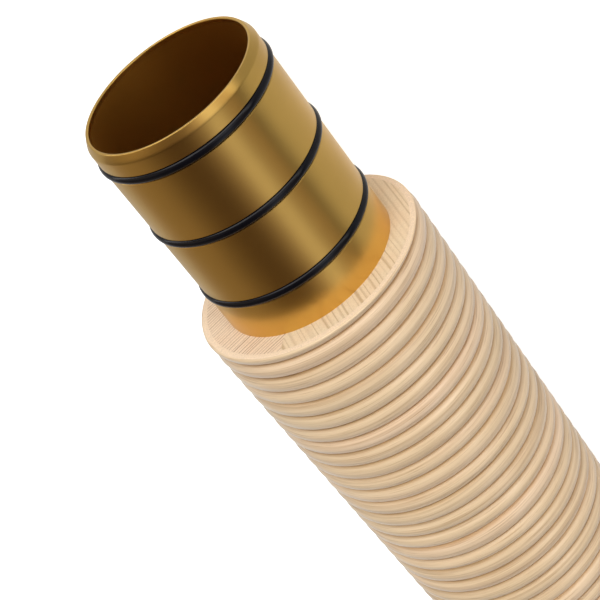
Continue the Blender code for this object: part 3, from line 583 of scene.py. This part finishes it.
def tenon(name, path, face, size, body, node):
    """A metal tenon with a rounded lip, a mouth that opens in a curve, and ring grooves.

    It gives back the places of the grooves.
    """
    end = face + size["length"]
    tip = end + NOSE_REACH
    radius = size["radius"]
    floor = radius + size["proud"] - size["cord"] - RING_SWELL - RING_SINK - GROOVE_SPARE
    half = size["cord"] / 2 + RING_SWELL + GROOVE_SPARE
    places = [end - size["first"] - i * size["pitch"] for i in range(3)]
    profile = [(face - size["root"], size["bore"]), (face - size["root"], radius)]
    for centre in reversed(places):
        profile += [(centre - half - GROOVE_EASE, radius), (centre - half, radius - GROOVE_EASE),
                    (centre - half, floor), (centre + half, floor),
                    (centre + half, radius - GROOVE_EASE), (centre + half + GROOVE_EASE, radius)]
    rise = math.hypot(1, NOSE_EASE) - NOSE_EASE
    lean = math.atan(NOSE_DROP / NOSE_LENGTH / math.hypot(1, NOSE_EASE) / rise)
    start, stop = tip - NOSE_LENGTH, tip - LIP_OUTER * (1 - math.sin(lean))
    profile += [(start + (stop - start) * share,
                 radius - NOSE_DROP * (math.hypot(share, NOSE_EASE) - NOSE_EASE) / rise)
                for share in np.linspace(0, 1, 14)]
    crest = radius - NOSE_DROP
    hub = crest - LIP_OUTER * math.cos(lean)
    profile += [(tip - LIP_OUTER * (1 - math.sin(turn)), hub + LIP_OUTER * math.cos(turn))
                for turn in np.linspace(lean, math.pi / 2, 6)[1:]]
    inner = hub - LIP_LAND
    profile += [(tip - LIP_INNER * (1 - math.cos(turn)), inner - LIP_INNER * math.sin(turn))
                for turn in np.linspace(0, math.pi / 2, 7)]
    inner, reach = inner - LIP_INNER, size["bore"]
    for depth in np.linspace(LIP_INNER, MOUTH_DEPTH, 12)[1:]:
        share = (1 - (depth - LIP_INNER) / (MOUTH_DEPTH - LIP_INNER)) ** MOUTH_CURVE
        profile.append((tip - depth, reach + (inner - reach) * share))
    # Faces inside the mouth take the bore's metal, painted darker as shade.
    piece = turned(name, path, profile, gold, 320, 40.0, gold_inside_shade, inner - INSIDE_SPARE)
    place(piece, body, "gold_metal", node)
    return places


def sealing_rings(prefix, path, places, size, body):
    """Rubber rings in a tenon's grooves."""
    cord = size["cord"] / 2 + RING_SWELL
    centre = size["radius"] + size["proud"] - size["cord"] / 2 - RING_SINK
    for number, s in enumerate(places, 1):
        ring = turned(f"{prefix}_sealing_ring_{number}", path,
                      arc(s, centre, cord, 0, 360, 24)[:-1], rubber, 320)
        place(ring, body, "rubber", f"{prefix}_o_ring_{number}")


sealing_rings("middle", middle_path,
              tenon("middle_tenon_tube", middle_path, MIDDLE_LENGTH, MIDDLE_TENON,
                    "middle_section", "middle_tenon"),
              MIDDLE_TENON, "middle_seals")
sealing_rings("hand", hand_path,
              tenon("hand_tenon_tube", hand_path, HAND_LENGTH, HAND_TENON,
                    "hand_section", "hand_tenon"),
              HAND_TENON, "hand_seals")


def bush(name, path, size, body, node):
    """The metal bush of a socket, flush with the wood, its mouth eased."""
    bore, outside = size["bore"], size["bore"] + size["wall"]
    profile = [(0.0, outside), (size["length"], outside), (size["length"], bore)]
    profile += arc(BUSH_EDGE, bore + BUSH_EDGE, BUSH_EDGE, 270, 180, 6)
    place(turned(name, path, profile, gold, 160), body, "gold_metal", node)


bush("middle_bush", middle_path, MIDDLE_BUSH, "middle_section", "middle_socket_bush")
bush("bell_bush", bell_path, BELL_BUSH, "bell_section", "bell_socket_bush")


# The mouthpiece and the bush that takes its shank

def mouthpiece():
    """The turned mouthpiece, from its rim over the bowl and the shank back to the cup."""
    size = MOUTHPIECE
    rim = RECEIVER["thickness"] - size["height"]
    crest = size["rim"] - size["round"]
    # Rim and bowl
    profile = arc(rim + size["round"], crest, size["round"], 180, 90, 12)
    places, radii = np.array(MOUTHPIECE_BOWL).T
    bowl = np.polyfit(places, radii, 3)
    profile += [(rim + s, np.polyval(bowl, s))
                for s in np.linspace(places[0], places[-1], 24)[1:]]
    # Foot and shank
    foot, edge = -SEAT_GAP - size["foot_height"], size["foot_edge"]
    profile.append((foot - size["foot_step"], radii[-1]))
    profile += arc(foot + edge, size["foot"] - edge, edge, 150, 90, 5)
    profile += arc(-SEAT_GAP - edge, size["foot"] - edge, edge, 90, 0, 5)
    profile += [(-SEAT_GAP, size["shank_radius"]), (size["shank"], size["shank_tip"])]
    # Bore and cup
    profile += [(size["shank"], size["backbore"]),
                (rim + size["cup_depth"] + size["throat_length"], size["throat"])]
    high = math.acos(size["bite"] / size["cup_depth"])
    for turn in np.linspace(0, high, 16):
        profile.append((rim + size["cup_depth"] * math.cos(turn),
                        size["throat"] + (size["cup"] - size["throat"]) * math.sin(turn)
                        / math.sin(high)))
    for turn in np.linspace(0, math.pi / 2, 8)[1:-1]:
        profile.append((rim + size["bite"] * (1 - math.sin(turn)),
                        crest - (crest - size["cup"]) * math.cos(turn)))
    path = straight_path(hand_origin - axis * RECEIVER["thickness"])
    place(turned("turned_mouthpiece", path, profile, boxwood, 128),
          "mouthpiece", "boxwood", "mouthpiece")


def receiver():
    """The flanged metal bush in the hand section's end, tapered for the shank."""
    size = RECEIVER
    face, edge = -size["thickness"], size["edge"]
    fall = (size["bore"] - size["tip"]) / MOUTHPIECE["shank"] * (size["length"] - face)
    profile = arc(face + edge, size["flange"] - edge, edge, 180, 90, 5)
    profile += [(-SEAT_GAP, size["flange"]), (-SEAT_GAP, size["radius"]),
                (size["length"], size["radius"]), (size["length"], size["bore"] - fall)]
    profile += arc(face + edge, size["bore"] + edge, edge, 270, 180, 5)
    place(turned("receiver_bush", hand_path, profile, gold, 128),
          "hand_section", "gold_metal", "mouthpiece_receiver")


mouthpiece()
receiver()


# Wood

def profile_of(points):
    """Radius along a section from (distance, radius) points."""
    s, r = np.array(points).T
    return lambda x: np.interp(x, s, r)


def middle_radius(s):
    """Outer radius of the middle section's wood, which opens faster towards its collar."""
    s = np.asarray(s, float)
    neck_s, neck_r = MIDDLE_NECK
    bush_s = MIDDLE_BUSH["length"]
    entry = MIDDLE_SOCKET_RADIUS + np.clip((s - bush_s) / (neck_s - bush_s), 0, 1) * (
        neck_r - MIDDLE_SOCKET_RADIUS)
    span = MIDDLE_LENGTH - neck_s
    share = (MIDDLE_LENGTH - s) / span
    spare = MIDDLE_COLLAR_RADIUS - neck_r - MIDDLE_TAPER * span
    late = MIDDLE_COLLAR_RADIUS - MIDDLE_TAPER * span * share - spare * share * share
    return np.where(s < neck_s, entry, late)


def bell_radius(s):
    """Outer radius of the bell section's wood."""
    s = np.asarray(s, float)
    straight = np.interp(s, [0, BELL_BUSH["length"], BELL_NECK[0], BELL_STRAIGHT],
                         [BELL_SOCKET_RADIUS, BELL_SOCKET_RADIUS, BELL_NECK[1],
                          BELL_THROAT_RADIUS])
    share = np.clip((s - BELL_STRAIGHT) / (BELL_LENGTH - BELL_STRAIGHT), 0, 1)
    return straight + FLARE_EARLY * share + FLARE_LATE * share ** 3


def bell_wall(s):
    """Wall of the bell section past its socket."""
    share = np.clip((s - BELL_STRAIGHT) / (BELL_LENGTH - BELL_STRAIGHT), 0, 1)
    bore = MIDDLE_TENON["mouth"] + (np.asarray(s) - BELL_BUSH["length"]) / (
        BELL_STRAIGHT - BELL_BUSH["length"]) * (
        BELL_THROAT_RADIUS - BELL_THROAT_WALL - MIDDLE_TENON["mouth"])
    straight = bell_radius(s) - bore
    bent = BELL_THROAT_WALL + share * (BELL_RIM_WALL - BELL_THROAT_WALL)
    return np.where(np.asarray(s) < BELL_STRAIGHT, straight, bent)


def stepped_rows(outer, breaks):
    """Rows between breaks of (start, end, inner radius at start, inner radius at end)."""
    rows = []
    for start, end, r_start, r_end in breaks:
        for s in np.linspace(start, end, max(2, round((end - start) / ROW_STEP))):
            share = (s - start) / (end - start)
            rows.append((s, float(outer(s)), r_start + share * (r_end - r_start)))
    return rows


hand_radius = profile_of(HAND_WOOD)
hand_root = HAND_LENGTH - HAND_TENON["root"] - SEAT_GAP
hand_rows = stepped_rows(hand_radius, [
    (0.0, HAND_RECEIVER_HOLE[0], HAND_RECEIVER_HOLE[1], HAND_RECEIVER_HOLE[1]),
    (HAND_RECEIVER_HOLE[0], hand_root, HAND_BORE_TOP, HAND_TENON["bore"]),
    (hand_root, HAND_LENGTH, HAND_TENON["radius"], HAND_TENON["radius"])])
middle_bush_r = MIDDLE_BUSH["bore"] + MIDDLE_BUSH["wall"]
middle_root = MIDDLE_LENGTH - MIDDLE_TENON["root"] - SEAT_GAP
middle_rows = stepped_rows(middle_radius, [
    (0.0, MIDDLE_BUSH["length"], middle_bush_r, middle_bush_r),
    (MIDDLE_BUSH["length"], middle_root, HAND_TENON["mouth"], MIDDLE_TENON["bore"]),
    (middle_root, MIDDLE_LENGTH, MIDDLE_TENON["radius"], MIDDLE_TENON["radius"])])
bell_bush_r = BELL_BUSH["bore"] + BELL_BUSH["wall"]
bell_rows = stepped_rows(bell_radius, [(0.0, BELL_BUSH["length"], bell_bush_r, bell_bush_r)])
bell_rows += [(s, float(bell_radius(s)), float(bell_radius(s) - bell_wall(s)))
              for s in np.concatenate([np.linspace(BELL_BUSH["length"], BELL_STRAIGHT, 30),
                                       np.linspace(BELL_STRAIGHT, BELL_LENGTH, 60)[1:]])]

for prefix, node, path, rows, body in (
        ("hand_wood", "hand_tube", hand_path, hand_rows, "hand_section"),
        ("middle_wood", "middle_tube", middle_path, middle_rows, "middle_section"),
        ("bell_wood", "bell", bell_path, bell_rows, "bell_section")):
    for which, material in (("left", spruce_left), ("right", spruce_right)):
        half = half_shell(f"{prefix}_{which}", path, rows, material, which == "left")
        place(half, body, "spruce", f"{node}_half_{which}")


# Rattan

hand_limits = (WINDING_START, HAND_LENGTH)
place(strand("hand_rattan", hand_path, hand_radius, hand_limits,
             (0, turns_between(hand_limits)), 40),
      "hand_section", "rattan", "hand_tube_winding")

middle_limits = (WINDING_START, MIDDLE_LENGTH)
place(strand("middle_end_rattan", middle_path, middle_radius, middle_limits,
             (0, END_TURNS), 96, 11),
      "middle_section", "rattan", "middle_tube_end_winding")
place(strand("middle_rattan", middle_path, middle_radius, middle_limits,
             (END_TURNS, turns_between(middle_limits))),
      "middle_section", "rattan", "middle_tube_winding")

bell_limits = (WINDING_START, BELL_WOUND)
place(strand("bell_rattan", bell_path, bell_radius, bell_limits,
             (0, turns_between(bell_limits))),
      "bell_section", "rattan", "bell_winding")


def rim_band():
    """Three turns of rattan side by side round the bell's edge, over its wood."""
    third = RIM_BAND_WIDTH / len(RIM_BAND_FALLS)
    inset = 0.999
    tops = [float(bell_radius(BELL_LENGTH)) + RIM_BAND_THICKNESS - fall
            for fall in RIM_BAND_FALLS]
    profile, across = [], []
    for number, top in enumerate(tops):
        for share in np.sin(np.linspace(-np.pi / 2, np.pi / 2, 9)):
            s = BELL_LENGTH - RIM_BAND_WIDTH + (number + 0.5 + share / 2) * third
            profile.append((s, top - RATTAN_THICKNESS * (1 - dome(share * inset))))
            across.append(share * third / 2)
    for s in np.linspace(BELL_LENGTH, BELL_LENGTH - RIM_BAND_WIDTH, 6):
        profile.append((s, float(bell_radius(s)) + RATTAN_GAP))
        across.append(0.0)
    return turned("bell_rim_rattan", bell_path, profile, rattan, 256, 70.0,
                  across=np.array(across))


place(rim_band(), "bell_section", "rattan", "bell_rim_band")


# What the CAD model already shows well enough takes a finished material

for name, material in (("foot", walnut), ("foot_pad_left", pad_rubber),
                       ("foot_pad_right", pad_rubber)):
    finish = frame["nodes"][name].data.materials
    finish.clear()
    finish.append(material)


# The floor and the studio

FLOOR_HALF = 12
FLOOR_GLOW = 0.78
FLOOR_WHITE = 0.85
# Glow of the floor that the metal mirrors, by the metres beside the horn plus a half
GLOW_IN_METAL = ((0.35, 0.0), (0.44, 0.06), (0.465, 0.16), (0.485, 0.50), (0.51, 0.60),
                 (0.55, 0.40), (0.59, 0.14), (0.70, 0.0))
# The floor's colour as the metal mirrors it, by the same measure: painted shade, darker further
# out towards -Y
FLOOR_IN_METAL = ((0.15, 0.10), (0.36, 0.60))
# Share of both that is left, by the metres ahead of the tenon's tip plus a half
SHADE_AHEAD = ((0.47, 1.0), (0.50, 0.75), (0.61, 0.50), (0.70, 1.0))
# Further glow that the metal mirrors, by the same measure
GLOW_AHEAD = ((0.62, 0.0), (0.72, 1.8))
# Even light on all that isn't a mirror, by the direction's turn about the horn (0.5 is above)
FILL = ((0.0, 0.60), (0.25, 0.60), (0.375, 0.50), (0.5, 0.50), (0.625, 0.56), (0.75, 0.80),
        (1.0, 0.80))
# What the metal mirrors: strips of light and shade along the horn, by their angle about it in
# degrees, from the floor on the right over the top to the floor on the left
STUDIO_STRIPS = (
    (-100, (0.26, 0.18, 0.13)), (-78, (0.36, 0.29, 0.24)), (-68, (0.40, 0.38, 0.38)),
    (-62, (0.74, 0.74, 0.80)), (-50, (0.74, 0.74, 0.80)), (-43, (0.40, 0.36, 0.37)),
    (-33, (0.215, 0.165, 0.150)), (-18, (0.076, 0.050, 0.037)),
    (4, (0.082, 0.053, 0.037)), (24, (0.152, 0.113, 0.083)), (46, (0.279, 0.219, 0.173)),
    (70, (0.304, 0.245, 0.173)), (92, (0.38, 0.326, 0.345)))
# How much brighter or darker the strips are, by the direction's share towards the bell
# (0 is back along the horn, 0.5 is beside it)
STUDIO_ALONG = ((0.33, 1.0), (0.42, 0.55), (0.54, 0.60), (0.66, 1.4), (0.73, 1.8), (0.80, 1.8),
                (0.88, 0.5), (1.0, 0.4))
# Glow of the studio's end wall, by the same share
END_WALL = ((0.89, 0.0), (0.95, 2.6))


def floor_material():
    """A white floor for the camera, and a floor with light and shade for the metal to mirror."""
    material, tree, shader = new_material("floor_white")
    shader.inputs["Roughness"].default_value = 0.9
    spot = split_node(tree, object_coords(tree))
    beside = math_node(tree, "ADD", spot["Y"], 0.5)
    ahead = math_node(tree, "ADD", spot["X"], 0.5 - tenon_tip[0])
    shade = ramp_node(tree, ahead, *SHADE_AHEAD)
    by_camera, in_mirror = ray_kinds(tree)
    colour = multiply(tree, ramp_node(tree, beside, *FLOOR_IN_METAL), shade)
    white = (FLOOR_WHITE, FLOOR_WHITE, FLOOR_WHITE, 1)
    tree.links.new(mix_node(tree, "MIX", in_mirror, white, colour), shader.inputs["Base Color"])
    mirrored = math_node(tree, "MULTIPLY_ADD", ramp_node(tree, beside, *GLOW_IN_METAL), shade,
                         ramp_node(tree, ahead, *GLOW_AHEAD))
    strength = math_node(tree, "MULTIPLY_ADD", by_camera, FLOOR_GLOW,
                         math_node(tree, "MULTIPLY", mirrored, in_mirror))
    glow = add_node(tree, "ShaderNodeEmission", Color=(1, 1, 1, 1))
    tree.links.new(strength, glow.inputs["Strength"])
    both = tree.nodes.new("ShaderNodeAddShader")
    tree.links.new(glow.outputs["Emission"], both.inputs[0])
    tree.links.new(shader.outputs["BSDF"], both.inputs[1])
    tree.links.new(both.outputs["Shader"], tree.nodes["Material Output"].inputs["Surface"])
    return material


def studio():
    """A world that is white for the camera, even for most surfaces and striped for the metal."""
    world = bpy.data.worlds.new("studio")
    world.use_nodes = True
    tree = world.node_tree
    towards = split_node(tree, tree.nodes.new("ShaderNodeTexCoord").outputs["Generated"])
    turn = math_node(tree, "ARCTAN2", towards["Y"], towards["Z"])
    turn = math_node(tree, "MULTIPLY_ADD", turn, 0.5 / math.pi, 0.5)
    to_bell = math_node(tree, "MULTIPLY_ADD", towards["X"], 0.5, 0.5)
    stops = [(0.5 + angle / 360, colour) for angle, colour in STUDIO_STRIPS]
    strips = multiply(tree, ramp_node(tree, turn, *stops), ramp_node(tree, to_bell, *STUDIO_ALONG))
    strips = mix_node(tree, "ADD", 1.0, strips, ramp_node(tree, to_bell, *END_WALL))
    by_camera, in_mirror = ray_kinds(tree)
    colour = mix_node(tree, "MIX", in_mirror, ramp_node(tree, turn, *FILL), strips)
    colour = mix_node(tree, "MIX", by_camera, colour, (1, 1, 1, 1))
    tree.links.new(colour, tree.nodes["Background"].inputs["Color"])
    return world


floor = mesh_object("floor", [(-FLOOR_HALF, -FLOOR_HALF, 0), (FLOOR_HALF, -FLOOR_HALF, 0),
                              (FLOOR_HALF, FLOOR_HALF, 0), (-FLOOR_HALF, FLOOR_HALF, 0)],
                    [(0, 1, 2, 3)], floor_material())
scene.world = studio()


# The camera and the lamps

def triad(first, second):
    """Three square directions as the columns of a matrix."""
    a = first.normalized()
    b = (second - a * second.dot(a)).normalized()
    return Matrix((a, b, a.cross(b))).transposed()


from_camera = triad(-axis, up) @ triad(AXIS_IN_CAMERA, UP_IN_CAMERA).transposed()
to_world = Matrix((from_camera @ Vector((1, 0, 0)), from_camera @ Vector((0, -1, 0)),
                   from_camera @ Vector((0, 0, -1)))).transposed().to_4x4()
to_world.translation = tenon_tip - from_camera @ RIM_IN_CAMERA
camera_data = bpy.data.cameras.new("camera")
camera_data.sensor_width = SENSOR_MM
camera_data.lens = SENSOR_MM * FOCAL_PIXELS / PICTURE_PIXELS
camera_data.clip_start, camera_data.clip_end = 0.01, 100
camera = bpy.data.objects.new("camera", camera_data)
camera.matrix_world = to_world
scene.collection.objects.link(camera)
scene.camera = camera


def sun(name, towards, spread, strength):
    """A soft lamp far away, which the metal doesn't mirror.

    towards is its direction from the joint in the camera's axes, and spread is in degrees.
    """
    data = bpy.data.lights.new(name, "SUN")
    data.angle = math.radians(spread)
    data.energy = strength
    lamp = bpy.data.objects.new(name, data)
    lamp.rotation_euler = (-(from_camera @ Vector(towards))).to_track_quat("-Z", "Y").to_euler()
    lamp.visible_glossy = False
    scene.collection.objects.link(lamp)


sun("key", towards=(-0.45, -0.33, -0.83), spread=35, strength=2.0)
sun("front", towards=(0.26, -0.20, -0.945), spread=18, strength=0.38)
